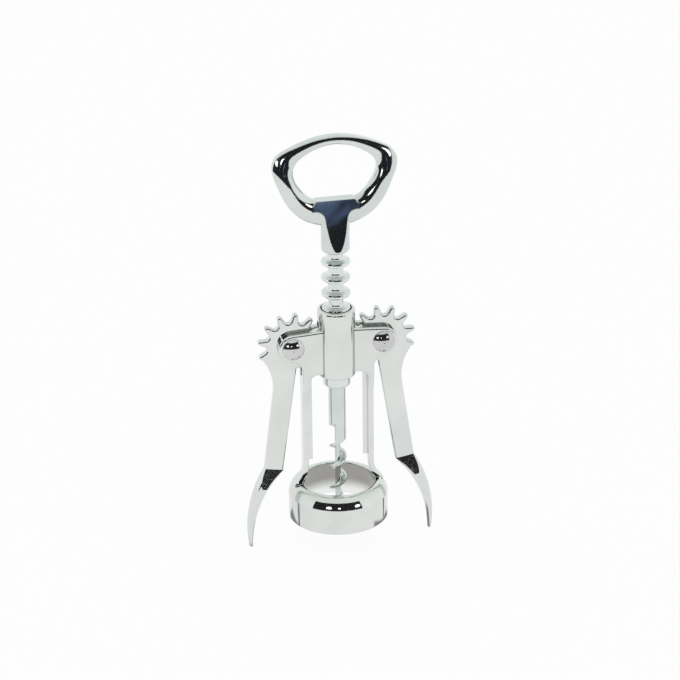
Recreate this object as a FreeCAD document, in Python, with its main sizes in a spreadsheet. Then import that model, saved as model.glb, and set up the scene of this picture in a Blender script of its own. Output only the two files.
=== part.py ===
import FreeCAD, Part
import math
import os
import re
import Sketcher
from FreeCAD import Placement, Rotation, Vector

# Wing corkscrew, in millimetres.
# The origin is the middle of the bell's open bottom. +Z runs up the stem to the handle,
# the two levers swing in the XZ plane, and -Y is the front.

SIZES = {
    # Bell that sits on the bottle's mouth
    "bell_radius": 19.5,
    "bell_height": 15.0,
    "bell_round": 4.5,
    "bell_shoulder": 10.4,
    "bell_shoulder_start": 15.5,
    "bell_shoulder_turn": 33.0,
    "bell_mouth_radius": 17.0,
    "bell_hole_radius": 14.3,
    "bell_rim_round": 0.6,
    "bell_foot_round": 0.5,
    # Pivots of the two levers, and the heights counted from them
    "pivot_out": 17.7,
    "pivot_height": 74.25,
    "barrel_rise": 14.15,
    "barrel_drop": 13.85,
    "shoulder_drop": 12.05,
    "ring_rise": 33.35,
    "stem_drop": 18.45,
    # Barrel that guides the stem
    "barrel_radius": 7.4,
    "barrel_round": 1.1,
    # Legs and shoulders
    "frame_depth": 9.0,
    "frame_edge_round": 0.9,
    "leg_inner": 11.9,
    "leg_outer": 14.0,
    "leg_depth": 4.2,
    "leg_fade_start": 2.0,
    "leg_fade": 7.0,
    "leg_foot_rise": 9.5,
    "leg_flare_rise": 7.5,
    "leg_foot_inner": 14.9,
    "leg_foot_outer": 17.6,
    "leg_foot_sink": 1.8,
    "leg_toe": 1.7,
    "rib_width": 1.8,
    "rib_depth": 1.2,
    "rib_rise": 10.0,
    "arch_round": 4.0,
    "boss_radius": 5.7,
    "boss_hollow": 5.0,
    "arm_slope": 3.4,
    "lever_slot": 3.4,
    "slot_clearance": 0.5,
    # Rivets
    "rivet_radius": 2.0,
    "rivet_clearance": 0.05,
    "rivet_head_radius": 4.3,
    "rivet_head_edge": 0.25,
    "rivet_dome": 1.75,
    "rivet_tail_radius": 3.4,
    "rivet_tail": 1.3,
    "rivet_tail_round": 0.6,
    # Levers, drawn hanging straight down from the pivot
    "lever_thickness": 3.0,
    "lever_edge_round": 0.95,
    "tooth_angle": 28.9,
    "tooth_phase": 1.1,
    "tooth_first": -3,
    "tooth_last": 4,
    "tooth_tip_radius": 13.4,
    "tooth_root_radius": 9.8,
    "tooth_tip_round": 1.05,
    "tooth_root_round": 1.35,
    "bar_outer_top": 4.5,
    "bar_inner_top": 3.2,
    "bar_neck": 21.5,
    "bar_neck_round": 20.0,
    "bar_end": 52.4,
    "bar_outer_end": 3.6,
    "bar_inner_end": 3.95,
    "left_rest": 8.9,
    "right_rest": 9.9,
    # Claws at the levers' ends: their edges, and how the section changes from top to tip
    "claw_tip": 86.6,
    "claw_outer_end": 4.9,
    "claw_outer_mid": 7.35,
    "claw_outer_mid_drop": 70.0,
    "claw_inner_end": 3.6,
    "claw_inner_mid": 3.0,
    "claw_inner_mid_drop": 68.3,
    "claw_half_depth": 3.4,
    "claw_depth_lost": 0.98,
    "claw_depth_power": 1.5,
    "claw_edge_half": 1.5,
    "claw_edge_lost": 0.6,
    "claw_edge_limit": 0.8,
    "claw_ridge_in": 0.28,
    "claw_ridge_out": 0.6,
    "claw_ridge_shift": 0.1,
    "claw_facet_drop": 8.2,
    # Ringed stem, a rack all the way round
    "ring_pitch": 6.46,
    "ring_count": 7,
    "ring_radius": 5.63,
    "ring_rim": 1.5,
    "ring_crown": 0.22,
    "ring_slope": 15.5,
    "ring_fillet": 1.1,
    "ring_sink": 0.5,
    "ring_clearance": 0.45,
    "stem_radius": 3.05,
    "stem_neck": 4.35,
    "stem_foot_radius": 5.4,
    "stem_foot_height": 8.4,
    "stem_foot_round": 1.5,
    "stem_foot_chamfer": 0.6,
    # Worm and the spindle that carries it up through the stem
    "spindle_radius": 2.0,
    "spindle_clearance": 0.05,
    "spindle_reach": 10.05,
    "shank_radius": 3.4,
    "shank_gap": 0.05,
    "worm_tip": 4.5,
    "worm_point": 6.0,
    "worm_point_radius": 0.5,
    "worm_core": 1.15,
    "worm_pitch": 9.2,
    "worm_groove": 8.5,
    "worm_groove_root": 7.5,
    "groove_drop": 15.45,
    "groove_turns": 4.2,
    "groove_start_angle": -113.0,
    # Handle: neck, lip of the cap lifter and its ring
    "neck_gap": 0.05,
    "neck_radius": 5.5,
    "neck_height": 15.05,
    "neck_round": 1.3,
    "lip_rise": 21.45,
    "lip_half": 7.3,
    "lip_side": 9.2,
    "lip_corner": 2.4,
    "lip_side_height": 1.8,
    "lip_waist_half": 4.3,
    "lip_waist_drop": 3.7,
    "lip_hollow": 3.9,
    "facet_tilt": 8.8,
    "facet_start": 0.8,
    "ring_width": 47.8,
    "ring_edge_half": 1.3,
    # How far a cutter runs on past what it cuts
    "past": 1.0,
}

# Sizes that follow from the others
FOLLOWING = {
    "leg_foot_bottom": "bell_height - leg_foot_sink",
    "leg_flare_top": "bell_height + leg_flare_rise",
    "leg_foot_top": "bell_height + leg_foot_rise",
    "rib_bottom": "bell_height + rib_rise",
    "shoulder_bottom": "pivot_height - shoulder_drop",
    "barrel_bottom": "pivot_height - barrel_drop",
    "barrel_top": "pivot_height + barrel_rise",
    "barrel_bore": "ring_radius + ring_clearance",
    "ring_top": "pivot_height + ring_rise",
    "stem_top": "pivot_height + ring_rise + stem_neck",
    "stem_bottom": "pivot_height - stem_drop",
    "stem_foot_top": "pivot_height - stem_drop + stem_foot_height",
    "stem_bore": "spindle_radius + spindle_clearance",
    "shank_top": "pivot_height - stem_drop - shank_gap",
    "groove_start": "pivot_height - stem_drop - shank_gap - groove_drop",
    "neck_bottom": "pivot_height + ring_rise + stem_neck + neck_gap",
    "neck_top": "pivot_height + ring_rise + stem_neck + neck_gap + neck_height",
    "spindle_top": "pivot_height + ring_rise + stem_neck + neck_gap + spindle_reach",
    "lip_top": "pivot_height + ring_rise + stem_neck + neck_gap + lip_rise",
}

doc = FreeCAD.newDocument("WingCorkscrew")
sheet = doc.addObject("Spreadsheet::Sheet", "Sizes")
for row, (alias, value) in enumerate({**SIZES, **FOLLOWING}.items(), start=1):
    sheet.set("A%d" % row, alias)
    sheet.set("B%d" % row, "=%s" % value)
    sheet.setAlias("B%d" % row, alias)
doc.recompute()


def size(alias):
    """The number in one cell of the sheet."""
    return float(sheet.get(alias))


def from_sheet(text):
    """An expression with each alias looked up in the sheet."""
    def named(word):
        alias = word.group()
        return "Sizes." + alias if alias in SIZES or alias in FOLLOWING else alias

    return re.sub(r"[a-z_]+[a-z]", named, text)


def bind(thing, **expressions):
    """Tie properties of an object to the sheet."""
    for name, text in expressions.items():
        thing.setExpression(name.replace("__", "."), from_sheet(text))


def number(value):
    """A corner's coordinate, given as a number or as an expression on the sheet."""
    if isinstance(value, str):
        return float(sheet.evalExpression(from_sheet(value)))
    return float(value)


def arc_between(start, end, radius, turn):
    """The short arc from start to end, turning left or right."""
    chord = end - start
    middle = (start + end) / 2
    left = Vector(-chord.y, chord.x, 0).normalize()
    height = math.sqrt(max(radius ** 2 - (chord.Length / 2) ** 2, 0))
    centre = middle + left * (height if turn == "left" else -height)
    first, last = (start, end) if turn == "left" else (end, start)
    angles = [math.atan2(point.y - centre.y, point.x - centre.x) for point in (first, last)]
    return Part.ArcOfCircle(Part.Circle(centre, Vector(0, 0, 1), radius), *angles)


def outline(sketch, corners):
    """Draw a closed outline whose corners and radii follow the sheet.

    A corner is (x, y), or (x, y, radius, turn) where an arc leaves it.
    """
    places = [Vector(number(corner[0]), number(corner[1]), 0) for corner in corners]
    ends = []
    for index, corner in enumerate(corners):
        start = places[index]
        end = places[(index + 1) % len(corners)]
        if len(corner) == 2:
            edge = sketch.addGeometry(Part.LineSegment(start, end))
            ends.append((edge, 1, 2))
        else:
            edge = sketch.addGeometry(arc_between(start, end, number(corner[2]), corner[3]))
            ends.append((edge, 1, 2) if corner[3] == "left" else (edge, 2, 1))
    for index, corner in enumerate(corners):
        edge, start, _ = ends[index]
        before, _, finish = ends[index - 1]
        sketch.addConstraint(Sketcher.Constraint("Coincident", before, finish, edge, start))
        for kind, value, place in (("DistanceX", corner[0], places[index].x),
                                   ("DistanceY", corner[1], places[index].y)):
            fixed = sketch.addConstraint(Sketcher.Constraint(kind, -1, 1, edge, start, place))
            if isinstance(value, str):
                sketch.setExpression("Constraints[%d]" % fixed, from_sheet(value))
        if len(corner) == 4:
            fixed = sketch.addConstraint(Sketcher.Constraint("Radius", edge, number(corner[2])))
            if isinstance(corner[2], str):
                sketch.setExpression("Constraints[%d]" % fixed, from_sheet(corner[2]))


def new_body(name):
    """An empty body, with its upright plane and axes at hand."""
    body = doc.addObject("PartDesign::Body", name)
    body.Label = name
    return body


def origin_feature(body, role):
    """One of a body's own planes or axes."""
    return next(part for part in body.Origin.OriginFeatures if part.Role == role)


def new_sketch(body, name, corners, plane="XZ_Plane"):
    """An outline in one of the body's upright planes."""
    sketch = body.newObject("Sketcher::SketchObject", name)
    sketch.AttachmentSupport = [(origin_feature(body, plane), "")]
    sketch.MapMode = "FlatFace"
    outline(sketch, corners)
    return sketch


def revolved(body, name, corners, kind="PartDesign::Revolution"):
    """A turned feature about the body's Z axis."""
    turned = body.newObject(kind, name)
    turned.Profile = new_sketch(body, name + "_outline", corners)
    turned.ReferenceAxis = (origin_feature(body, "Z_Axis"), [""])
    turned.Angle = 360
    return turned


def padded(body, name, corners, depth, kind="PartDesign::Pad", plane="XZ_Plane"):
    """A feature run out evenly to both sides of its plane."""
    run = body.newObject(kind, name)
    run.Profile = new_sketch(body, name + "_outline", corners, plane)
    run.Midplane = True
    bind(run, Length=depth)
    return run


def drilled(body, name, out, up, radius, depth):
    """A round pocket right through, along Y."""
    sketch = new_sketch(body, name + "_outline", [])
    sketch.addGeometry(Part.Circle(Vector(number(out), number(up), 0), Vector(0, 0, 1), number(radius)))
    for constraint, text in ((Sketcher.Constraint("DistanceX", -1, 1, 0, 3, number(out)), out),
                             (Sketcher.Constraint("DistanceY", -1, 1, 0, 3, number(up)), up),
                             (Sketcher.Constraint("Radius", 0, number(radius)), radius)):
        fixed = sketch.addConstraint(constraint)
        sketch.setExpression("Constraints[%d]" % fixed, from_sheet(text))
    hole = body.newObject("PartDesign::Pocket", name)
    hole.Profile = sketch
    hole.Midplane = True
    bind(hole, Length=depth)
    doc.recompute()
    return hole


def rim_edges(shape, level, above):
    """Names of the edges that lie in the plane Y = level and reach above a height."""
    names = []
    for number_of_edge, edge in enumerate(shape.Edges, start=1):
        box = edge.BoundBox
        if max(abs(box.YMin - level), abs(box.YMax - level)) < 0.01 and box.ZMax > above + 0.01:
            names.append("Edge%d" % number_of_edge)
    return names


# Frame: one casting with the bell, two legs, the shoulders and the barrel

def flare(start_out, start_up, end_out, end_up):
    """Radius of the arc that leaves a place straight up and meets another place."""
    across = "(%s - %s)" % (end_out, start_out)
    along = "(%s - (%s))" % (start_up, end_up)
    return "((%s^2 + %s^2) / (2 * %s))" % (across, along, across)


def half_plate_corners():
    """Right half of the flat shoulder and leg, from the middle round to the boss."""
    toe_top = "leg_foot_bottom + leg_toe"
    hollow_centre_out = "(leg_outer + boss_hollow)"
    rise = "sqrt((boss_radius + boss_hollow)^2 - (leg_outer + boss_hollow - pivot_out)^2)"
    share = "boss_radius / (boss_radius + boss_hollow)"
    arm_out = "(pivot_out + boss_radius * sin(arm_slope))"
    arm_up = "(pivot_height + boss_radius * cos(arm_slope))"
    return [
        ("0", "shoulder_bottom"),
        ("leg_inner - arch_round", "shoulder_bottom", "arch_round", "right"),
        ("leg_inner", "shoulder_bottom - arch_round"),
        ("leg_inner", "leg_foot_top",
         flare("leg_inner", "leg_foot_top", "leg_foot_inner", "leg_foot_bottom"), "left"),
        ("leg_foot_inner", "leg_foot_bottom"),
        ("leg_foot_outer", "leg_foot_bottom"),
        ("leg_foot_outer", toe_top, flare("leg_outer", "leg_flare_top", "leg_foot_outer", toe_top), "right"),
        ("leg_outer", "leg_flare_top"),
        ("leg_outer", "pivot_height - %s" % rise, "boss_hollow", "right"),
        ("pivot_out + (%s - pivot_out) * %s" % (hollow_centre_out, share),
         "pivot_height - %s * %s" % (rise, share), "boss_radius", "left"),
        ("pivot_out + boss_radius", "pivot_height", "boss_radius", "left"),
        (arm_out, arm_up),
        ("0", "%s + %s * tan(arm_slope)" % (arm_up, arm_out)),
    ]


def make_frame():
    body = new_body("frame")
    plate = padded(body, "shoulder_and_leg", half_plate_corners(), "frame_depth")
    doc.recompute()
    leg_middle = "(leg_inner + leg_outer) / 2"
    rib = padded(body, "leg_rib", [
        ("leg_inner - rib_width", "rib_bottom"),
        (leg_middle, "rib_bottom"),
        (leg_middle, "shoulder_bottom"),
        ("leg_inner - rib_width", "shoulder_bottom"),
    ], "rib_depth")
    doc.recompute()
    other_half = body.newObject("PartDesign::Mirrored", "other_side")
    other_half.Originals = [plate, rib]
    other_half.MirrorPlane = (origin_feature(body, "YZ_Plane"), [""])
    body.Tip = other_half
    doc.recompute()
    half = size("frame_depth") / 2
    low = size("leg_foot_bottom") + size("leg_toe")
    soft = body.newObject("PartDesign::Fillet", "soft_edges")
    soft.Base = (other_half, rim_edges(other_half.Shape, -half, low) + rim_edges(other_half.Shape, half, low))
    bind(soft, Radius="frame_edge_round")
    doc.recompute()
    steepness = "leg_fade / ((frame_depth - leg_depth) / 2)"
    for side, sign in (("front", "-"), ("back", "")):
        padded(body, "legs_thinned_" + side, [
            (sign + "frame_depth", "0"),
            (sign + "leg_depth / 2", "0"),
            (sign + "leg_depth / 2", "shoulder_bottom - leg_fade_start - leg_fade"),
            (sign + "frame_depth", "shoulder_bottom - leg_fade_start + frame_depth / 2 * %s" % steepness),
        ], "2 * (leg_foot_outer + leg_toe)", "PartDesign::Pocket", "YZ_Plane")
        doc.recompute()
    inward = "bell_shoulder * (cos(bell_shoulder_start) - cos(bell_shoulder_turn))"
    upper = "((bell_round - %s) / cos(bell_shoulder_turn))" % inward
    turning = "bell_height - %s * (1 - sin(bell_shoulder_turn))" % upper
    wall_top = "%s - bell_shoulder * (sin(bell_shoulder_turn) - sin(bell_shoulder_start))" % turning
    revolved(body, "bell", [
        ("bell_mouth_radius", "0"),
        ("bell_radius - bell_foot_round", "0", "bell_foot_round", "left"),
        ("bell_radius", "bell_foot_round"),
        ("bell_radius", wall_top, "bell_shoulder", "left"),
        ("bell_radius - %s" % inward, turning, upper, "left"),
        ("bell_radius - bell_round", "bell_height"),
        ("bell_hole_radius + bell_rim_round", "bell_height", "bell_rim_round", "left"),
        ("bell_hole_radius", "bell_height - bell_rim_round"),
    ])
    revolved(body, "barrel", [
        ("0", "barrel_bottom"),
        ("barrel_radius - barrel_round", "barrel_bottom", "barrel_round", "left"),
        ("barrel_radius", "barrel_bottom + barrel_round"),
        ("barrel_radius", "barrel_top - barrel_round", "barrel_round", "left"),
        ("barrel_radius - barrel_round", "barrel_top"),
        ("0", "barrel_top"),
    ])
    doc.recompute()
    revolved(body, "barrel_bore_cut", [
        ("0", "barrel_bottom - past"),
        ("barrel_bore", "barrel_bottom - past"),
        ("barrel_bore", "barrel_top + past"),
        ("0", "barrel_top + past"),
    ], "PartDesign::Groove")
    doc.recompute()
    for side, sign in (("left", "-"), ("right", "")):
        pivot = "%spivot_out" % sign
        reach = "(tooth_tip_radius + slot_clearance)"
        drilled(body, side + "_lever_slot", pivot, "pivot_height", reach, "lever_slot")
        drilled(body, side + "_rivet_hole", pivot, "pivot_height", "rivet_radius", "frame_depth + 2 * past")
    return body


# Levers: a toothed hub, a flat bar and a claw that widens towards the fingers

def polar(radius, angle):
    """A place round the pivot, its angle counted from straight up towards the outside."""
    turn = math.radians(angle)
    return Vector(radius * math.sin(turn), radius * math.cos(turn), 0)


def flank(half_gap):
    """Where one tooth's flank leaves the root arc and meets the tip arc.

    Both are given in the gap's own frame, with the gap's middle pointing along +Y.
    """
    root_round = size("tooth_root_round")
    tip_round = size("tooth_tip_round")
    root_centre = Vector(0, size("tooth_root_radius") + root_round, 0)
    tip_centre = polar(size("tooth_tip_radius") - tip_round, half_gap)
    reach = tip_centre - root_centre
    swing = math.acos((root_round + tip_round) / reach.Length)
    heading = math.atan2(reach.y, reach.x) - swing
    normal = Vector(math.cos(heading), math.sin(heading), 0)
    return root_centre + normal * root_round, tip_centre - normal * tip_round


def turned(point, angle):
    """A point of the gap's frame turned to where the gap lies round the pivot."""
    turn = math.radians(angle)
    return Vector(point.x * math.cos(turn) + point.y * math.sin(turn),
                  point.y * math.cos(turn) - point.x * math.sin(turn), 0)


def mirrored(point):
    """The same point on the other side of the gap's middle."""
    return Vector(-point.x, point.y, 0)


def gap_corners(angle):
    """The space between two teeth, out past their tips."""
    half_gap = size("tooth_angle") / 2
    root, tip = flank(half_gap)
    crest = polar(size("tooth_tip_radius"), half_gap)
    outside = polar(size("tooth_tip_radius") + 2 * size("past"), half_gap)
    places = [
        (mirrored(outside), None),
        (mirrored(crest), ("tooth_tip_round", "right")),
        (mirrored(tip), None),
        (mirrored(root), ("tooth_root_round", "left")),
        (root, None),
        (tip, ("tooth_tip_round", "right")),
        (crest, None),
        (outside, None),
    ]
    corners = []
    for place, arc in places:
        point = turned(place, angle)
        corners.append((point.x, point.y) + (arc or ()))
    return corners


def blank_corners():
    """The hub out to the teeth's tips, and the bar down to the claw."""
    half_gap = size("tooth_angle") / 2
    first = size("tooth_phase") + size("tooth_first") * size("tooth_angle")
    last = size("tooth_phase") + size("tooth_last") * size("tooth_angle")
    root, tip = flank(half_gap)
    inner_root = turned(root, first - half_gap)
    inner_tip = turned(tip, first - half_gap)
    inner_crest = polar(size("tooth_tip_radius"), first)
    outer_crest = polar(size("tooth_tip_radius"), last)
    outer_tip = turned(mirrored(tip), last + half_gap)
    top = polar(size("tooth_tip_radius"), (first + last) / 2)
    hub_in = -size("bar_inner_top")
    hub_up = -math.sqrt(size("tooth_root_radius") ** 2 - hub_in ** 2)
    return [
        (-size("bar_inner_end"), -size("bar_end")),
        (size("bar_outer_end"), -size("bar_end")),
        (size("bar_outer_top"), -size("bar_neck"), size("bar_neck_round"), "right"),
        (outer_tip.x, outer_tip.y, size("tooth_tip_round"), "left"),
        (outer_crest.x, outer_crest.y, size("tooth_tip_radius"), "left"),
        (top.x, top.y, size("tooth_tip_radius"), "left"),
        (inner_crest.x, inner_crest.y, size("tooth_tip_round"), "left"),
        (inner_tip.x, inner_tip.y),
        (inner_root.x, inner_root.y, size("tooth_root_radius"), "left"),
        (hub_in, hub_up),
    ]


def make_lever_plate(name):
    """The toothed plate, drawn about its pivot."""
    body = new_body(name)
    padded(body, name + "_blank", blank_corners(), "lever_thickness")
    doc.recompute()
    first_gap = size("tooth_phase") + (size("tooth_first") + 0.5) * size("tooth_angle")
    gap = padded(body, name + "_gap", gap_corners(first_gap), "lever_thickness + 2 * past",
                 "PartDesign::Pocket")
    doc.recompute()
    gaps = body.newObject("PartDesign::PolarPattern", name + "_gaps")
    gaps.Originals = [gap]
    gaps.Axis = (origin_feature(body, "Y_Axis"), [""])
    gaps.Reversed = False
    bind(gaps, Angle="tooth_angle * (tooth_last - tooth_first - 1)", Occurrences="tooth_last - tooth_first")
    body.Tip = gaps
    doc.recompute()
    before = gaps
    for side, sign in (("front", -1), ("back", 1)):
        rolled = body.newObject("PartDesign::Fillet", "%s_%s_edges" % (name, side))
        rolled.Base = (before, rim_edges(before.Shape, sign * size("lever_thickness") / 2, -size("bar_end")))
        bind(rolled, Radius="lever_edge_round")
        doc.recompute()
        before = rolled
    drilled(body, name + "_hole", "0", "0", "rivet_radius + rivet_clearance", "lever_thickness + 2 * past")
    return body


def arc_at(start, middle, end, drop):
    """How far out an arc through three places lies, at a drop below the pivot."""
    places = [Vector(out, -down, 0) for out, down in (start, middle, end)]
    circle = Part.Arc(*places).toShape().Curve
    centre = circle.Center
    return centre.x + math.sqrt(circle.Radius ** 2 - (-drop - centre.y) ** 2)


def claw_section(drop):
    """One level slice of the claw: a thin inner edge, a ridge each side and a crowned back."""
    end = size("bar_end")
    tip = size("claw_tip")
    share = (drop - end) / (tip - end)
    outer = arc_at((size("bar_outer_end"), end),
                   (size("claw_outer_mid"), size("claw_outer_mid_drop")),
                   (size("claw_outer_end"), tip), drop)
    inner = arc_at((-size("bar_inner_end"), end),
                   (size("claw_inner_mid"), size("claw_inner_mid_drop")),
                   (size("claw_inner_end"), tip), drop)
    past_facet = max(0.0, share - size("claw_facet_drop") / (tip - end))
    depth = size("claw_half_depth") * (1 - size("claw_depth_lost") * past_facet ** size("claw_depth_power"))
    edge = min(size("claw_edge_half") * (1 - size("claw_edge_lost") * share), size("claw_edge_limit") * depth)
    shift = size("claw_ridge_shift") * share
    ridge_in = inner + (size("claw_ridge_in") - shift) * (outer - inner)
    ridge_out = inner + (size("claw_ridge_out") - shift) * (outer - inner)
    front = [Vector(inner, -edge, -drop), Vector(ridge_in, -depth, -drop), Vector(ridge_out, -depth, -drop)]
    back = [Vector(point.x, -point.y, -drop) for point in reversed(front)]
    crown = Part.Arc(front[-1], Vector(outer, 0, -drop), back[0])
    return Part.Wire([
        Part.makeLine(back[-1], front[0]),
        Part.makeLine(front[0], front[1]),
        Part.makeLine(front[1], front[2]),
        crown.toShape(),
        Part.makeLine(back[0], back[1]),
        Part.makeLine(back[1], back[2]),
    ])


def make_claw(name):
    """The claw, cut back at its top to the bar's thickness by a sloping facet each side."""
    levels = 8
    end = size("bar_end")
    step = (size("claw_tip") - end) / (levels - 1)
    whole = Part.makeLoft([claw_section(end + step * level) for level in range(levels)], True, False)
    depth = size("claw_half_depth")
    half = size("lever_thickness") / 2
    low = -end - size("claw_facet_drop")
    past = size("past")
    slope = (depth - half) / size("claw_facet_drop")
    reach = size("claw_outer_mid") + past
    facets = []
    for front in (-1, 1):
        corners = [Vector(-reach, front * half, -end),
                   Vector(-reach, front * half, past - end),
                   Vector(-reach, front * (depth + past), past - end),
                   Vector(-reach, front * (depth + past), low - past / slope)]
        wedge = Part.Face(Part.makePolygon(corners + corners[:1]))
        facets.append(wedge.extrude(Vector(2 * reach, 0, 0)))
    claw = doc.addObject("Part::Feature", name)
    claw.Shape = whole.cut(facets)
    return claw


def make_lever(name, side):
    """One lever, tilted out to its rest about the pivot."""
    lever = doc.addObject("Part::MultiFuse", name)
    lever.Shapes = [make_lever_plate(name + "_plate"), make_claw(name + "_claw")]
    lever.Refine = True
    lever.Label = name
    lean = Rotation(Vector(0, 1, 0), -side * size("right_rest" if side > 0 else "left_rest"))
    facing = Rotation(Vector(0, 0, 1), 0 if side > 0 else 180)
    lever.Placement = Placement(Vector(side * size("pivot_out"), 0, size("pivot_height")), lean * facing)
    return lever


# Pivot rivets: domed head at the front, closed head at the back

def make_rivet(name, side):
    body = new_body(name)
    half = "frame_depth / 2"
    crown = "(rivet_dome - rivet_head_edge)"
    corners = [
        ("0", "-%s - rivet_tail" % half),
        ("rivet_tail_radius - rivet_tail_round", "-%s - rivet_tail" % half, "rivet_tail_round", "left"),
        ("rivet_tail_radius", "-%s - rivet_tail + rivet_tail_round" % half),
        ("rivet_tail_radius", "-%s" % half),
        ("rivet_radius", "-%s" % half),
        ("rivet_radius", half),
        ("rivet_head_radius", half),
        ("rivet_head_radius", "%s + rivet_head_edge" % half,
         "((rivet_head_radius^2 + %s^2) / (2 * %s))" % (crown, crown), "left"),
        ("0", "%s + rivet_dome" % half),
    ]
    revolved(body, name + "_turned", corners)
    body.Placement.Rotation = Rotation(Vector(1, 0, 0), 90)
    bind(body, Placement__Base__x="%d * pivot_out" % side, Placement__Base__z="pivot_height")
    return body


# Stem: rings that the levers' teeth push on, bored for the worm's spindle

def make_stem():
    body = new_body("ringed_stem")
    revolved(body, "stem_core", [
        ("0", "stem_bottom"),
        ("stem_foot_radius - stem_foot_round", "stem_bottom", "stem_foot_round", "left"),
        ("stem_foot_radius", "stem_bottom + stem_foot_round"),
        ("stem_foot_radius", "stem_foot_top - stem_foot_chamfer"),
        ("stem_foot_radius - stem_foot_chamfer", "stem_foot_top"),
        ("stem_radius", "stem_foot_top"),
        ("stem_radius", "stem_top"),
        ("0", "stem_top"),
    ])
    doc.recompute()
    rim_out = "(ring_radius - ring_crown)"
    flank = "(ring_fillet + (%s - stem_radius - ring_fillet) * sin(ring_slope)) / cos(ring_slope)" % rim_out
    fillet_up = "(ring_rim / 2 + %s)" % flank
    flank_out = "stem_radius + ring_fillet * (1 - sin(ring_slope))"
    flank_up = "(%s - ring_fillet * cos(ring_slope))" % fillet_up
    ring = revolved(body, "stem_ring", [
        ("stem_radius - ring_sink", "ring_top - %s" % fillet_up),
        ("stem_radius", "ring_top - %s" % fillet_up, "ring_fillet", "right"),
        (flank_out, "ring_top - %s" % flank_up),
        (rim_out, "ring_top - ring_rim / 2", "((ring_rim / 2)^2 + ring_crown^2) / (2 * ring_crown)", "left"),
        (rim_out, "ring_top + ring_rim / 2"),
        (flank_out, "ring_top + %s" % flank_up, "ring_fillet", "right"),
        ("stem_radius", "ring_top + %s" % fillet_up),
        ("stem_radius - ring_sink", "ring_top + %s" % fillet_up),
    ])
    doc.recompute()
    rings = body.newObject("PartDesign::LinearPattern", "stem_rings")
    rings.Originals = [ring]
    rings.Direction = (origin_feature(body, "Z_Axis"), [""])
    rings.Reversed = True
    bind(rings, Length="ring_pitch * (ring_count - 1)", Occurrences="ring_count")
    body.Tip = rings
    doc.recompute()
    revolved(body, "stem_bore_cut", [
        ("0", "stem_bottom - past"),
        ("stem_bore", "stem_bottom - past"),
        ("stem_bore", "stem_top + past"),
        ("0", "stem_top + past"),
    ], "PartDesign::Groove")
    return body


# Worm: a pointed screw with one deep helical groove, and the spindle above it

def make_groove_cutter():
    """The helical groove, wound down from its start on the shank."""
    turns = size("groove_turns")
    pitch = size("worm_pitch")
    start = size("groove_start")
    outside = size("shank_radius") + size("past")
    core = size("worm_core")
    helix = Part.makeHelix(pitch, pitch * turns, core)
    width = size("worm_groove")
    taper = (width - size("worm_groove_root")) / 2
    corners = [Vector(core, 0, taper - width), Vector(outside, 0, -width),
               Vector(outside, 0, 0), Vector(core, 0, -taper)]
    profile = Part.makePolygon(corners + corners[:1])
    swept = Part.Wire(helix).makePipeShell([profile], True, True)
    swept.rotate(Vector(0, 0, 0), Vector(0, 0, 1), size("groove_start_angle") - 360 * turns)
    swept.translate(Vector(0, 0, start - pitch * turns))
    return swept


def make_worm():
    body = new_body("worm_blank")
    revolved(body, "worm_turned", [
        ("0", "worm_tip"),
        ("worm_point_radius", "worm_tip"),
        ("shank_radius", "worm_tip + worm_point"),
        ("shank_radius", "shank_top"),
        ("spindle_radius", "shank_top"),
        ("spindle_radius", "spindle_top"),
        ("0", "spindle_top"),
    ])
    cutter = doc.addObject("Part::Feature", "worm_groove_cutter")
    cutter.Shape = make_groove_cutter()
    worm = doc.addObject("Part::Cut", "worm")
    worm.Base = body
    worm.Tool = cutter
    worm.Label = "worm"
    return worm


# Handle: a neck that becomes the lip and the ring of a cap lifter

# Half of the ring from its bottom round to its top, drawn 47.8 wide with its heights counted
# from the lip's top: the outer edge's place out and up, the inner edge's place out and up, and
# half the thickness along the crest between them
RING_DRAWN_WIDTH = 47.8
RING_STATIONS = [
    (0.0, -10.6, 0.0, -0.8, 2.8),
    (8.2, -9.4, 5.6, -0.7, 2.85),
    (15.2, -5.2, 10.5, 1.6, 3.0),
    (19.6, 0.8, 13.7, 5.6, 3.3),
    (22.4, 7.4, 15.6, 9.4, 3.35),
    (23.9, 12.8, 16.1, 12.5, 2.85),
    (22.9, 17.2, 15.2, 15.2, 2.3),
    (17.2, 21.2, 11.7, 18.4, 2.05),
    (8.8, 24.4, 6.1, 21.1, 2.0),
    (0.0, 25.6, 0.0, 22.1, 2.0),
]


def ring_lines():
    """Smooth closed lines along the ring's outer edge, crest and inner edge, and their length."""
    opposite = [(-outer_out, outer_up, -inner_out, inner_up, crest)
                for outer_out, outer_up, inner_out, inner_up, crest in reversed(RING_STATIONS[1:-1])]
    scale = size("ring_width") / RING_DRAWN_WIDTH
    lip = Vector(0, 0, size("lip_top"))
    outer = []
    crest_line = []
    inner = []
    for outer_out, outer_up, inner_out, inner_up, crest in RING_STATIONS + opposite:
        outer.append(lip + Vector(outer_out, 0, outer_up) * scale)
        inner.append(lip + Vector(inner_out, 0, inner_up) * scale)
        crest_line.append((outer[-1] + inner[-1]) / 2 - Vector(0, crest, 0) * scale)
    along = [0.0]
    for place, after in zip(outer, outer[1:] + outer[:1]):
        along.append(along[-1] + (after - place).Length)
    lines = []
    for places in (outer, crest_line, inner):
        line = Part.BSplineCurve()
        line.interpolate(Points=places, Parameters=along, PeriodicFlag=True)
        lines.append(line)
    return lines, along[-1]


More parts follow.
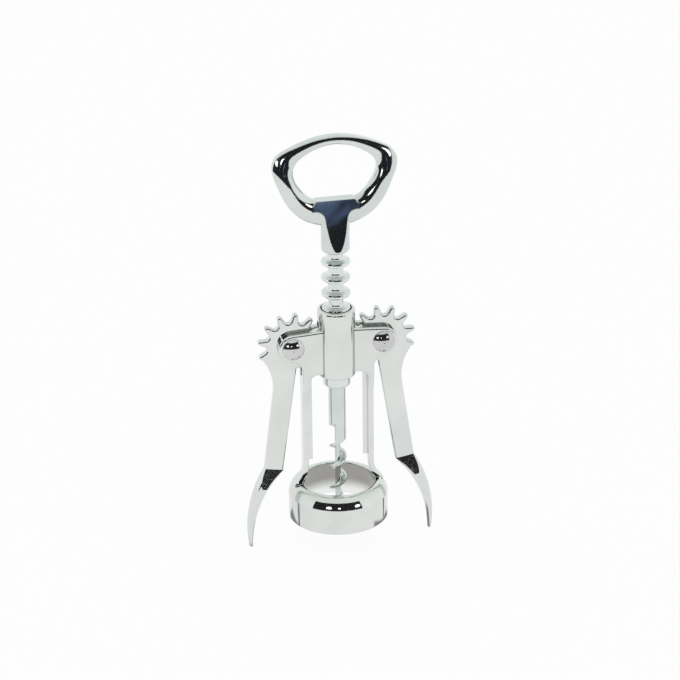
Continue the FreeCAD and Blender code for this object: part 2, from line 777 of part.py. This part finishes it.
def ring_section(lines, place):
    """One slice across the ring's band: crowned front and back, narrow inner and outer edges."""
    outer, crest, inner = [line.value(place) for line in lines]
    ahead = Vector(0, -size("ring_edge_half"), 0)
    behind = Vector(crest.x, -crest.y, crest.z)
    return Part.Wire([
        Part.makeLine(inner - ahead, inner + ahead),
        Part.Arc(inner + ahead, crest, outer + ahead).toShape(),
        Part.makeLine(outer + ahead, outer - ahead),
        Part.Arc(outer - ahead, behind, inner - ahead).toShape(),
    ])


def make_ring():
    """Half the ring, lofted a little past the middle plane, trimmed there and mirrored."""
    lines, length = ring_lines()
    slices = 44
    sections = [ring_section(lines, (length * step / slices) % length) for step in range(-2, slices // 2 + 3)]
    whole = Part.makeLoft(sections, True, False)
    reach = size("ring_width")
    low = lines[0].value(0).z - size("past")
    half = whole.common(Part.makeBox(reach, reach, reach, Vector(0, -reach / 2, low)))
    ring = doc.addObject("Part::Feature", "handle_ring")
    ring.Shape = half.fuse(half.mirror(Vector(0, 0, 0), Vector(1, 0, 0)))
    return ring


def make_neck_and_lip():
    """The neck and the lip's block, both planed to one sloping facet at front and back."""
    body = new_body("handle_neck")
    revolved(body, "neck", [
        ("0", "neck_bottom"),
        ("neck_radius - neck_round", "neck_bottom", "neck_round", "left"),
        ("neck_radius", "neck_bottom + neck_round"),
        ("neck_radius", "neck_top"),
        ("0", "neck_top"),
    ])
    doc.recompute()
    waist = "lip_top - lip_corner - lip_side_height - lip_waist_drop"
    padded(body, "lip", [
        ("-lip_waist_half", waist),
        ("lip_waist_half", waist, "lip_hollow", "right"),
        ("lip_side", "lip_top - lip_corner - lip_side_height"),
        ("lip_side", "lip_top - lip_corner"),
        ("lip_half", "lip_top"),
        ("-lip_half", "lip_top"),
        ("-lip_side", "lip_top - lip_corner"),
        ("-lip_side", "lip_top - lip_corner - lip_side_height", "lip_hollow", "right"),
    ], "2 * neck_radius")
    doc.recompute()
    planed = doc.addObject("Part::Cut", "planed_neck")
    planed.Base = body
    cutters = []
    half = size("lip_side") + size("past")
    deep = 2 * size("neck_radius")
    for facing, sign in (("front", -1), ("back", 1)):
        plane = doc.addObject("Part::Box", facing + "_facet")
        plane.Length = 2 * half
        plane.Width = deep
        plane.Height = 2 * size("lip_rise")
        tilt = Rotation(Vector(1, 0, 0), sign * size("facet_tilt"))
        corner = Vector(-half, 0 if sign > 0 else -deep, 0)
        place = Vector(0, sign * size("neck_radius"), size("neck_bottom") + size("facet_start"))
        plane.Placement = Placement(place, tilt) * Placement(corner, Rotation())
        cutters.append(plane)
    both = doc.addObject("Part::MultiFuse", "facet_cutters")
    both.Shapes = cutters
    planed.Tool = both
    return planed


def make_handle():
    drill = doc.addObject("Part::Cylinder", "spindle_hole")
    bind(drill, Radius="spindle_radius", Height="spindle_reach + past", Placement__Base__z="neck_bottom - past")
    solid = doc.addObject("Part::MultiFuse", "handle_solid")
    solid.Shapes = [make_ring(), make_neck_and_lip()]
    handle = doc.addObject("Part::Cut", "handle")
    handle.Base = solid
    handle.Tool = drill
    handle.Label = "handle"
    return handle


pieces = [
    make_frame(),
    make_lever("left_lever", -1),
    make_lever("right_lever", 1),
    make_rivet("left_pivot_rivet", -1),
    make_rivet("right_pivot_rivet", 1),
    make_handle(),
    make_stem(),
    make_worm(),
]
doc.recompute()

for thing in doc.Objects:
    if "Invalid" in thing.State or "Error" in thing.State:
        raise RuntimeError("%s did not build: %s" % (thing.Name, thing.State))
os.makedirs("parts", exist_ok=True)
for piece in pieces:
    shape = piece.Shape
    if shape.isNull() or not shape.isValid() or len(shape.Solids) != 1:
        raise RuntimeError("%s is not one sound solid" % piece.Label)
for piece in pieces:
    print("%-20s %9.1f mm3" % (piece.Label, piece.Shape.Volume))
    piece.Shape.exportStep("parts/%s.step" % piece.Label)
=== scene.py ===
import math

import bpy
from mathutils import Matrix, Vector


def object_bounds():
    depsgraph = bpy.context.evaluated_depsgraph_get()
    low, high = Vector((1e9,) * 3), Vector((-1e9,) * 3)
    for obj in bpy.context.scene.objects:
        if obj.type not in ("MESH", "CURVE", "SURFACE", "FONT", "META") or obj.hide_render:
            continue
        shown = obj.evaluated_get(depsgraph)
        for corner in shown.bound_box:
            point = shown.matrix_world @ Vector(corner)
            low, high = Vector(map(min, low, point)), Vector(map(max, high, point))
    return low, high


MM = 0.001


def box_as_lists():
    low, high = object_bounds()
    return [list(low), list(high)]


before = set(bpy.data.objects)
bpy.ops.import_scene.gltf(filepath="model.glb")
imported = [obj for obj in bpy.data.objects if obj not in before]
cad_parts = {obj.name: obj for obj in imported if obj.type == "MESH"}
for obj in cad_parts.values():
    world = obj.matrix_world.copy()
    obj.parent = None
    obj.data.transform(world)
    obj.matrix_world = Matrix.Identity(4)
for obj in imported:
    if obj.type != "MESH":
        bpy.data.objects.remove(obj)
cad_box = box_as_lists()
scene = bpy.context.scene
scene.view_settings.view_transform = "Standard"


# Camera: a long lens in front of the corkscrew, a little to its left and well above it

AIM = Vector((1.406 * MM, 0.0, 74.473 * MM))
CAMERA_AZIMUTH = math.radians(-11.364)
CAMERA_ELEVATION = math.radians(24.488)
CAMERA_ROLL = math.radians(0.666)
CAMERA_DISTANCE = 1.2
SENSOR_WIDTH = 36.0
LENS_LENGTH = 165.03
NEAREST_SEEN = 0.05
FARTHEST_SEEN = 20

flat = math.cos(CAMERA_ELEVATION)
back = Vector((math.sin(CAMERA_AZIMUTH) * flat, -math.cos(CAMERA_AZIMUTH) * flat, math.sin(CAMERA_ELEVATION)))
level = (-back).cross(Vector((0, 0, 1))).normalized()
upright = level.cross(-back)
camera_right = level * math.cos(CAMERA_ROLL) - upright * math.sin(CAMERA_ROLL)
camera_up = level * math.sin(CAMERA_ROLL) + upright * math.cos(CAMERA_ROLL)

camera_data = bpy.data.cameras.new("Camera")
camera_data.lens = LENS_LENGTH
camera_data.sensor_width = SENSOR_WIDTH
camera_data.clip_start = NEAREST_SEEN
camera_data.clip_end = FARTHEST_SEEN
camera = bpy.data.objects.new("Camera", camera_data)
turn = Matrix((camera_right, camera_up, back)).transposed().to_4x4()
camera.matrix_world = Matrix.Translation(AIM + back * CAMERA_DISTANCE) @ turn
scene.collection.objects.link(camera)
scene.camera = camera


# Node helpers

class Net:
    """Builds one node tree, with each new node's inputs given by name or number."""

    def __init__(self, tree):
        self.tree = tree
        tree.nodes.clear()

    def add(self, kind, inputs=None, **settings):
        node = self.tree.nodes.new(kind)
        for key, value in settings.items():
            setattr(node, key, value)
        for key, value in (inputs or {}).items():
            if isinstance(value, bpy.types.NodeSocket):
                self.tree.links.new(value, node.inputs[key])
            else:
                node.inputs[key].default_value = value
        return node

    def math(self, operation, first, second=0.0):
        return self.add("ShaderNodeMath", {0: first, 1: second}, operation=operation).outputs[0]

    def parts(self, vector):
        return self.add("ShaderNodeSeparateXYZ", {0: vector}).outputs

    def length(self, first, second):
        squares = self.math("ADD", self.math("MULTIPLY", first, first), self.math("MULTIPLY", second, second))
        return self.math("SQRT", squares)

    def step(self, value, low, high, to_low=0.0, to_high=1.0):
        node = self.add(
            "ShaderNodeMapRange",
            {"Value": value, "From Min": low, "From Max": high, "To Min": to_low, "To Max": to_high},
            interpolation_type="SMOOTHSTEP",
        )
        return node.outputs["Result"]

    def noise(self, place, scale, detail=2.0, roughness=0.5, distortion=0.0):
        node = self.add(
            "ShaderNodeTexNoise",
            {
                "Vector": place,
                "Scale": scale,
                "Detail": detail,
                "Roughness": roughness,
                "Distortion": distortion,
            },
        )
        return node.outputs["Fac"]

    def bump(self, height, distance, normal):
        values = {"Height": height, "Strength": 1.0, "Distance": distance, "Normal": normal}
        return self.add("ShaderNodeBump", values).outputs[0]

    def product(self, first, second):
        return self.blend(1.0, first, (*second, 1), "MULTIPLY")

    def blend(self, share, first, second, kind="MIX"):
        node = self.add("ShaderNodeMix", data_type="RGBA", blend_type=kind)
        for key, value in ((0, share), (6, first), (7, second)):
            if isinstance(value, bpy.types.NodeSocket):
                self.tree.links.new(value, node.inputs[key])
            else:
                node.inputs[key].default_value = value
        return node.outputs[2]


def new_material(name):
    material = bpy.data.materials.new(name)
    material.use_nodes = True
    return material, Net(material.node_tree)


# The frame's painted shade and painted light, and its rougher arm tops, in mm. A fade is where it starts and
# where it ends

INSIDE_PAINTED_SHADE = (0.48, 0.455, 0.44)
INSIDE_FADE = (3.0, 8.0)
MOUTH_PAINTED_LIGHT = (0.90, 0.91, 0.90)
MOUTH_FADE = (1.5, 4.5)
BELL_MOUTH = 17.3
BELL_TAPER = 0.1875
BELL_INSIDE_TOP = 14.5
BARREL_CORNER_PAINTED_SHADE = (0.50, 0.51, 0.51)
BARREL_CORNER_FADE = (0.15, 0.55)
BARREL_CORNER_BOTTOM = 61.5
BARREL_CORNER_TOP = 81.0
BARREL_CORNER_END = 1.0
BARREL_RADIUS = 7.4
CHEEK_HALF = 4.5
ARM_TOP = 79.5
ARM_TOP_FADE = 2.0
ARM_UPWARD = (0.86, 0.97)
ARM_DULLNESS = 0.30


def bell_painted_shade_and_light(net, x, y, z, shade):
    """The bell's inner wall gets painted shade, a dull warm grey deep inside, and a painted reflection of the
    white floor, pale round its mouth.
    """
    wall = net.math("SUBTRACT", BELL_MOUTH, net.math("MULTIPLY", z, BELL_TAPER))
    in_bore = net.math("LESS_THAN", net.length(x, y), wall)
    within = net.math("MULTIPLY", in_bore, net.math("LESS_THAN", z, BELL_INSIDE_TOP))
    deep = net.math("MULTIPLY", within, net.step(z, *INSIDE_FADE))
    shade = net.blend(deep, shade, net.product(shade, INSIDE_PAINTED_SHADE))
    mouth = net.math("MULTIPLY", within, net.step(z, *MOUTH_FADE, 1.0, 0.0))
    return net.blend(mouth, shade, (*MOUTH_PAINTED_LIGHT, 1))


def barrel_corner_painted_shade(net, x, y, z, shade):
    """Painted shade: a darker line in the corner where each cheek meets the barrel."""
    corner = math.sqrt(BARREL_RADIUS ** 2 - CHEEK_HALF ** 2)
    aside = net.math("SUBTRACT", net.math("ABSOLUTE", x), corner)
    ahead = net.math("SUBTRACT", net.math("ABSOLUTE", y), CHEEK_HALF)
    corner_shade = net.step(net.length(aside, ahead), *BARREL_CORNER_FADE, 1.0, 0.0)
    above = net.step(z, BARREL_CORNER_BOTTOM - BARREL_CORNER_END, BARREL_CORNER_BOTTOM + BARREL_CORNER_END)
    along = net.math("MULTIPLY", above, net.step(z, BARREL_CORNER_TOP - BARREL_CORNER_END, BARREL_CORNER_TOP, 1.0, 0.0))
    return net.blend(net.math("MULTIPLY", corner_shade, along), shade, net.product(shade, BARREL_CORNER_PAINTED_SHADE))


def arm_tops(net, z):
    """How much rougher the arms' upward faces are."""
    upward = net.parts(net.add("ShaderNodeNewGeometry").outputs["Normal"])["Z"]
    high = net.step(z, ARM_TOP - ARM_TOP_FADE, ARM_TOP)
    return net.math("MULTIPLY", net.math("MULTIPLY", net.step(upward, *ARM_UPWARD), high), ARM_DULLNESS)


def painted_shade_and_dull_tops(net, place, shade):
    """The frame's colour with painted shade and painted light added, and the roughness to add."""
    axes = net.parts(place)
    x, y, z = (net.math("DIVIDE", axes[axis], MM) for axis in "XYZ")
    shade = bell_painted_shade_and_light(net, x, y, z, shade)
    shade = barrel_corner_painted_shade(net, x, y, z, shade)
    return shade, arm_tops(net, z)


# Chrome: bright plate over a cast, pressed or turned surface
# A noise is its scale in waves per metre, then its detail, roughness and distortion

CLOUDS = (55.0, 3.0, 0.55, 0.4)
CLOUD_SHADES = (0.35, 0.68)
CLOUD_DULL = (0.40, 0.62)
SMUDGES = (160.0, 4.0, 0.6, 1.2)
SMUDGE_DULL = (0.52, 0.78)
PINHOLES = (2600.0, 2.0, 0.6)
PINHOLE_DULL = (0.58, 0.74)
PINHOLE_ROUGHNESS = 0.2
RIPPLE_NOISE = (1.0, 0.4)
GRAIN_NOISE = (3.0, 0.6)
MM_IN_METRE = 1000.0
CREASE_REACH = 0.7
CREASE_OPEN = (0.15, 0.75)
CREASE_PAINTED_SHADE = (0.47, 0.48, 0.49)
CREASE_SAMPLES = 8
EDGE_SAMPLES = 6


def chrome(name, light, dark, shine, ripple, grain, edge, painted_shade_and_dulling=None):
    """Shine is the polished and the dull roughness. Ripple and grain are a size and a height, in mm.

    Edge is the radius in mm that rounds the shading of sharp edges.
    """
    material, net = new_material(name)
    place = net.add("ShaderNodeTexCoord").outputs["Object"]

    clouds = net.noise(place, *CLOUDS)
    dull_share = net.math(
        "MULTIPLY", net.step(net.noise(place, *SMUDGES), *SMUDGE_DULL), net.step(clouds, *CLOUD_DULL)
    )
    polish = net.step(dull_share, 0.0, 1.0, *shine)
    pinholes = net.step(net.noise(place, *PINHOLES), *PINHOLE_DULL)
    roughness = net.math("ADD", polish, net.math("MULTIPLY", pinholes, PINHOLE_ROUGHNESS))
    shade = net.blend(net.step(clouds, *CLOUD_SHADES), (*dark, 1), (*light, 1))
    # An optional pass adds painted shade and painted light to the colour, and extra roughness
    if painted_shade_and_dulling:
        shade, dulled = painted_shade_and_dulling(net, place, shade)
        roughness = net.math("ADD", roughness, dulled)
    # Painted shade: the colour darkens in creases and corners, where ambient occlusion finds surfaces close
    # by
    crease = net.add("ShaderNodeAmbientOcclusion", {"Distance": CREASE_REACH * MM}, samples=CREASE_SAMPLES)
    open_air = net.step(crease.outputs["AO"], *CREASE_OPEN)
    shade = net.blend(open_air, net.product(shade, CREASE_PAINTED_SHADE), shade)

    soft_edge = net.add("ShaderNodeBevel", {"Radius": edge * MM}, samples=EDGE_SAMPLES).outputs[0]
    waves = net.noise(place, MM_IN_METRE / ripple[0], *RIPPLE_NOISE)
    cast = net.bump(waves, ripple[1] * MM, soft_edge)
    pits = net.noise(place, MM_IN_METRE / grain[0], *GRAIN_NOISE)
    finish = net.bump(pits, grain[1] * MM, cast)

    metal = net.add(
        "ShaderNodeBsdfPrincipled",
        {"Base Color": shade, "Metallic": 1.0, "Roughness": roughness, "Normal": finish},
    )
    net.add("ShaderNodeOutputMaterial", {"Surface": metal.outputs[0]})
    return material


FRAME_CHROME = chrome(
    "frame_chrome",
    light=(0.74, 0.76, 0.74),
    dark=(0.69, 0.715, 0.695),
    shine=(0.045, 0.16),
    ripple=(9.0, 0.05),
    grain=(0.6, 0.0012),
    edge=0.25,
    painted_shade_and_dulling=painted_shade_and_dull_tops,
)
HANDLE_CHROME = chrome(
    "handle_chrome",
    light=(0.70, 0.735, 0.715),
    dark=(0.64, 0.68, 0.66),
    shine=(0.045, 0.16),
    ripple=(9.0, 0.05),
    grain=(0.6, 0.0014),
    edge=0.5,
)
STEM_CHROME = chrome(
    "stem_chrome",
    light=(0.76, 0.795, 0.78),
    dark=(0.68, 0.72, 0.705),
    shine=(0.04, 0.13),
    ripple=(3.0, 0.012),
    grain=(0.5, 0.001),
    edge=0.12,
)
PLATE_CHROME = chrome(
    "plate_chrome",
    light=(0.745, 0.765, 0.745),
    dark=(0.69, 0.72, 0.70),
    shine=(0.06, 0.18),
    ripple=(14.0, 0.035),
    grain=(0.5, 0.0016),
    edge=0.15,
)
RIVET_STEEL = chrome(
    "rivet_steel",
    light=(0.68, 0.665, 0.67),
    dark=(0.60, 0.59, 0.59),
    shine=(0.08, 0.22),
    ripple=(3.0, 0.02),
    grain=(0.35, 0.0015),
    edge=0.5,
)
WORM_STEEL = chrome(
    "worm_steel",
    light=(0.70, 0.74, 0.72),
    dark=(0.62, 0.66, 0.64),
    shine=(0.06, 0.18),
    ripple=(5.0, 0.02),
    grain=(0.4, 0.0012),
    edge=0.12,
)

FINISHES = {
    "frame": FRAME_CHROME,
    "handle": HANDLE_CHROME,
    "ringed_stem": STEM_CHROME,
    "left_lever": PLATE_CHROME,
    "right_lever": PLATE_CHROME,
    "left_pivot_rivet": RIVET_STEEL,
    "right_pivot_rivet": RIVET_STEEL,
    "worm": WORM_STEEL,
}
for node_name, finish in FINISHES.items():
    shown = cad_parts[node_name]
    for slot in shown.material_slots:
        slot.material = finish


# Floor: white to the lens, with the object's shadow, and with two painted shadows either side of the bell
# that only the chrome shows
# A spot is its middle and its half sizes, across and along, in mm

FLOOR_HALF = 3.0
FLOOR_GAP = 0.0001
FLOOR_WHITE = 0.8
FLOOR_SEEN_GLOW = 0.94
FLOOR_MIRRORED_GLOW = 0.85
PAINTED_SHADOW_SPOTS = ((-31.5, 11.0, 5.5, 13.0), (31.5, -4.0, 5.5, 16.0))
PAINTED_SHADOW_DEPTH = 0.7
SPOT_SOFT_ACROSS = 1.5
SPOT_SOFT_ALONG = 3.0
WHITE = (1, 1, 1, 1)
BLACK = (0, 0, 0, 1)


def sheet(name, points, faces):
    mesh = bpy.data.meshes.new(name)
    mesh.from_pydata(points, [], faces)
    thing = bpy.data.objects.new(name, mesh)
    scene.collection.objects.link(thing)
    return thing


def near(net, value, middle, half, soft):
    """One within half of the middle, none outside it, both in mm."""
    apart = net.math("ABSOLUTE", net.math("SUBTRACT", value, middle * MM))
    return net.step(apart, (half - soft) * MM, (half + soft) * MM, 1.0, 0.0)


floor_height = cad_box[0][2] - FLOOR_GAP
corners = [(x * FLOOR_HALF, y * FLOOR_HALF, floor_height) for x, y in ((-1, -1), (1, -1), (1, 1), (-1, 1))]
floor = sheet("floor", corners, [(0, 1, 2, 3)])

floor_material, net = new_material("floor")
rays = net.add("ShaderNodeLightPath")
seen = net.math(
    "MAXIMUM",
    net.math("MULTIPLY", rays.outputs["Is Camera Ray"], FLOOR_SEEN_GLOW),
    net.math("MULTIPLY", rays.outputs["Is Glossy Ray"], FLOOR_MIRRORED_GLOW),
)
spread = net.parts(net.add("ShaderNodeTexCoord").outputs["Object"])
shaded = 0.0
for across, along, half_across, half_along in PAINTED_SHADOW_SPOTS:
    spot = net.math(
        "MULTIPLY",
        near(net, spread["X"], across, half_across, SPOT_SOFT_ACROSS),
        near(net, spread["Y"], along, half_along, SPOT_SOFT_ALONG),
    )
    shaded = net.math("MAXIMUM", spot, shaded)
# Painted shadow: the floor darkens in these spots only as reflected in the metal
mirrored_painted_shadow = net.math("MULTIPLY", net.math("MULTIPLY", shaded, rays.outputs["Is Glossy Ray"]), PAINTED_SHADOW_DEPTH)
white = net.blend(mirrored_painted_shadow, WHITE, BLACK)
paper_colour = net.product(white, (FLOOR_WHITE, FLOOR_WHITE, FLOOR_WHITE))
paper = net.add("ShaderNodeBsdfDiffuse", {"Color": paper_colour})
glow = net.add("ShaderNodeEmission", {"Color": white, "Strength": 1.0})
surface = net.add("ShaderNodeMixShader", {0: seen, 1: paper.outputs[0], 2: glow.outputs[0]})
net.add("ShaderNodeOutputMaterial", {"Surface": surface.outputs[0]})
floor.data.materials.append(floor_material)


# World: a soft white surround, a little dimmer overhead, and plain white to the lens

HORIZON = (0.97, 1.0, 0.985, 1)
OVERHEAD = (0.86, 0.90, 0.885, 1)
OVERHEAD_FROM = 0.9

world = bpy.data.worlds.new("studio")
scene.world = world
world.use_nodes = True
net = Net(world.node_tree)
rays = net.add("ShaderNodeLightPath")
upward = net.parts(net.add("ShaderNodeTexCoord").outputs["Generated"])["Z"]
sky = net.blend(net.step(upward, 0.0, OVERHEAD_FROM), HORIZON, OVERHEAD)
shown_sky = net.blend(rays.outputs["Is Camera Ray"], sky, WHITE)
light = net.add("ShaderNodeBackground", {"Color": shown_sky, "Strength": 1.0})
net.add("ShaderNodeOutputWorld", {"Surface": light.outputs[0]})


# The room in front of the table is dark, with one blue patch, and only polished metal shows it
# It starts at the table's edge and ends below the soft light, in metres

TABLE_EDGE = 0.48
TABLE_GAP = 0.0005
ROOM_FAR = 2.0
ROOM_TOP = 1.36
ROOM_MIDDLE = CAMERA_AZIMUTH - math.radians(2)
ROOM_HALF_ANGLE = math.radians(56)
ROOM_STEPS = 24
ROOM_BLACK = (0.019, 0.018, 0.021, 1)
BLUE = (0.080, 0.122, 0.225, 1)
BLUE_EDGE = (0.026, 0.036)
PALE_BLUE = (0.30, 0.345, 0.47, 1)
PALE_EDGE = (0.010, 0.026)
BLUE_PLACE = (0.097, -0.589, 0.090)
BLUE_NOISE = (160.0, 2.0, 0.6)
BLUE_UNEVEN = 0.012

rim = []
for number in range(ROOM_STEPS + 1):
    around = ROOM_MIDDLE + ROOM_HALF_ANGLE * (2 * number / ROOM_STEPS - 1)
    for reach, height in ((TABLE_EDGE, floor_height + TABLE_GAP), (ROOM_FAR, ROOM_TOP)):
        rim.append((math.sin(around) * reach, -math.cos(around) * reach, height))
strips = [(2 * n, 2 * n + 1, 2 * n + 3, 2 * n + 2) for n in range(ROOM_STEPS)]
room = sheet("dark_room", rim, strips)
room.visible_camera = False
room.visible_diffuse = False
room.visible_shadow = False
room.visible_transmission = False

room_material, net = new_material("dark_room")
place = net.add("ShaderNodeTexCoord").outputs["Object"]
apart = net.add("ShaderNodeVectorMath", {0: place, 1: BLUE_PLACE}, operation="DISTANCE").outputs["Value"]
apart = net.math("ADD", apart, net.math("MULTIPLY", net.noise(place, *BLUE_NOISE), BLUE_UNEVEN))
shade = net.blend(net.step(apart, *PALE_EDGE, 1.0, 0.0), BLUE, PALE_BLUE)
shade = net.blend(net.step(apart, *BLUE_EDGE, 1.0, 0.0), ROOM_BLACK, shade)
dim = net.add("ShaderNodeEmission", {"Color": shade, "Strength": 1.0})
net.add("ShaderNodeOutputMaterial", {"Surface": dim.outputs[0]})
room.data.materials.append(room_material)


# Lamps: three weak disks that face the corkscrew, each turned this many degrees from the camera's side
# The last two numbers are the disk's width in metres and its power in watts

LAMPS = (("left", -21.0, 0.14, 0.10), ("middle", 2.0, 0.06, 0.03), ("right", 44.0, 0.14, 0.10))
LAMP_LIFT = math.radians(10.0)
LAMP_DISTANCE = 0.65

for side, turn_degrees, width, power in LAMPS:
    lamp_data = bpy.data.lights.new("lamp_" + side, "AREA")
    lamp_data.shape = "DISK"
    lamp_data.size = width
    lamp_data.energy = power
    lamp = bpy.data.objects.new("lamp_" + side, lamp_data)
    around = CAMERA_AZIMUTH + math.radians(turn_degrees)
    level_reach = math.cos(LAMP_LIFT)
    away = Vector((math.sin(around) * level_reach, -math.cos(around) * level_reach, math.sin(LAMP_LIFT)))
    lamp.location = AIM + away * LAMP_DISTANCE
    lamp.rotation_mode = "QUATERNION"
    lamp.rotation_quaternion = away.to_track_quat("Z", "Y")
    scene.collection.objects.link(lamp)
